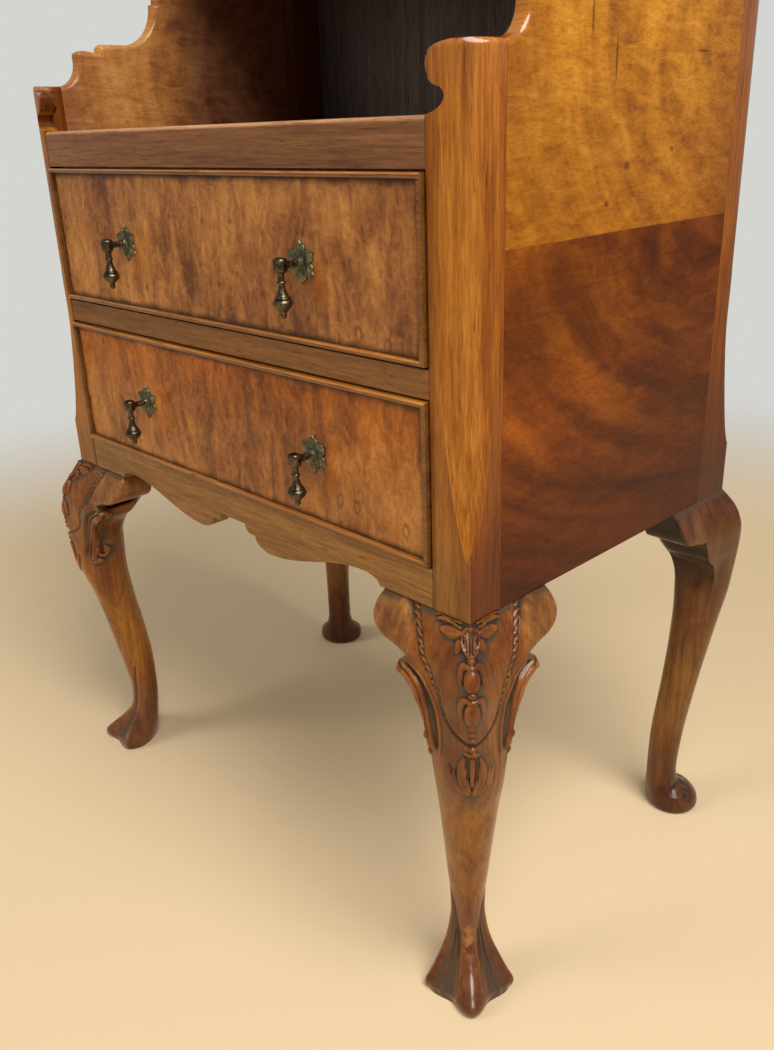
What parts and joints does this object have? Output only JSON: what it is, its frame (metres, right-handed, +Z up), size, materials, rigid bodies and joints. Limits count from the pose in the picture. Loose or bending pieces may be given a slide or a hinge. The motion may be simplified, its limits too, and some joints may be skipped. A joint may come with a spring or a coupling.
{
  "type": "nightstand",
  "caption": "Walnut bedside cabinet: open shelves between scrolled sides over sliding drawers with drop handles, on carved cabriole legs.",
  "frame": {"origin": "on the floor, under the middle of the whole object's box", "axes": "+Z up, -Y out of the drawer fronts, +X to the right of someone who looks at the drawer fronts"},
  "size_m": [0.6164, 0.41, 1.0127],
  "materials": {
    "post_walnut": "straight-grained golden-brown walnut, french polished",
    "veneer_walnut": "figured walnut veneer, french polished",
    "rail_walnut": "dark straight-grained walnut, polished",
    "leg_walnut": "dark red-brown carved walnut, polished, rubbed at the toes",
    "burr_walnut": "burr walnut veneer, french polished, dark at the edges",
    "bead_walnut": "pale walnut bead, rubbed",
    "drawer_oak": "plain dry oak, unpolished",
    "antique_brass": "dark aged brass, worn on the high points"
  },
  "bodies": {
    "cabinet": {"front_left_post": "post_walnut", "front_right_post": "post_walnut", "rear_left_post": "post_walnut", "rear_right_post": "post_walnut", "left_side_panel": "veneer_walnut", "right_side_panel": "veneer_walnut", "apron_rail": "rail_walnut", "drawer_divider_rail": "rail_walnut", "top_rail": "rail_walnut", "rear_bottom_rail": "rail_walnut", "compartment_floor": "rail_walnut", "upper_shelf": "rail_walnut", "gallery_back": "rail_walnut", "back_panel": "drawer_oak", "lower_left_runner": "drawer_oak", "lower_right_runner": "drawer_oak", "lower_dust_panel": "drawer_oak", "lower_drawer_stop": "drawer_oak", "upper_left_runner": "drawer_oak", "upper_right_runner": "drawer_oak", "upper_dust_panel": "drawer_oak", "upper_drawer_stop": "drawer_oak", "front_left_leg": "leg_walnut", "front_right_leg": "leg_walnut", "rear_left_leg": "leg_walnut", "rear_right_leg": "leg_walnut", "front_left_knee_ear_end": "leg_walnut", "front_left_knee_ear_side": "leg_walnut", "front_right_knee_ear_end": "leg_walnut", "front_right_knee_ear_side": "leg_walnut", "rear_left_knee_ear_end": "leg_walnut", "rear_left_knee_ear_side": "leg_walnut", "rear_right_knee_ear_end": "leg_walnut", "rear_right_knee_ear_side": "leg_walnut"},
    "lower_drawer": {"lower_drawer_front": "burr_walnut", "lower_cock_bead": "bead_walnut", "lower_drawer_left_side": "drawer_oak", "lower_drawer_right_side": "drawer_oak", "lower_drawer_bottom": "drawer_oak", "lower_drawer_back": "drawer_oak", "lower_left_handle_plate": "antique_brass", "lower_left_handle_post": "antique_brass", "lower_right_handle_plate": "antique_brass", "lower_right_handle_post": "antique_brass"},
    "upper_drawer": {"upper_drawer_front": "burr_walnut", "upper_cock_bead": "bead_walnut", "upper_drawer_left_side": "drawer_oak", "upper_drawer_right_side": "drawer_oak", "upper_drawer_bottom": "drawer_oak", "upper_drawer_back": "drawer_oak", "upper_left_handle_plate": "antique_brass", "upper_left_handle_post": "antique_brass", "upper_right_handle_plate": "antique_brass", "upper_right_handle_post": "antique_brass"},
    "lower_left_drop": {"lower_left_pendant": "antique_brass"},
    "lower_right_drop": {"lower_right_pendant": "antique_brass"},
    "upper_left_drop": {"upper_left_pendant": "antique_brass"},
    "upper_right_drop": {"upper_right_pendant": "antique_brass"}
  },
  "joints": [
    {"name": "lower_drawer_slide", "type": "slide", "parent": "cabinet", "child": "lower_drawer", "axis": [0, -1, 0], "range_m": [0, 0.22]},
    {"name": "upper_drawer_slide", "type": "slide", "parent": "cabinet", "child": "upper_drawer", "axis": [0, -1, 0], "range_m": [0, 0.22]},
    {"name": "lower_left_drop_swing", "type": "hinge", "parent": "lower_drawer", "child": "lower_left_drop", "pos_m": [-0.1235, -0.19737, 0.4556], "axis": [-1, 0, 0], "range_deg": [-15, 90]},
    {"name": "lower_right_drop_swing", "type": "hinge", "parent": "lower_drawer", "child": "lower_right_drop", "pos_m": [0.1235, -0.19737, 0.4556], "axis": [-1, 0, 0], "range_deg": [-15, 90]},
    {"name": "upper_left_drop_swing", "type": "hinge", "parent": "upper_drawer", "child": "upper_left_drop", "pos_m": [-0.1235, -0.19737, 0.6028], "axis": [-1, 0, 0], "range_deg": [-15, 90]},
    {"name": "upper_right_drop_swing", "type": "hinge", "parent": "upper_drawer", "child": "upper_right_drop", "pos_m": [0.1235, -0.19737, 0.6028], "axis": [-1, 0, 0], "range_deg": [-15, 90]}
  ]
}
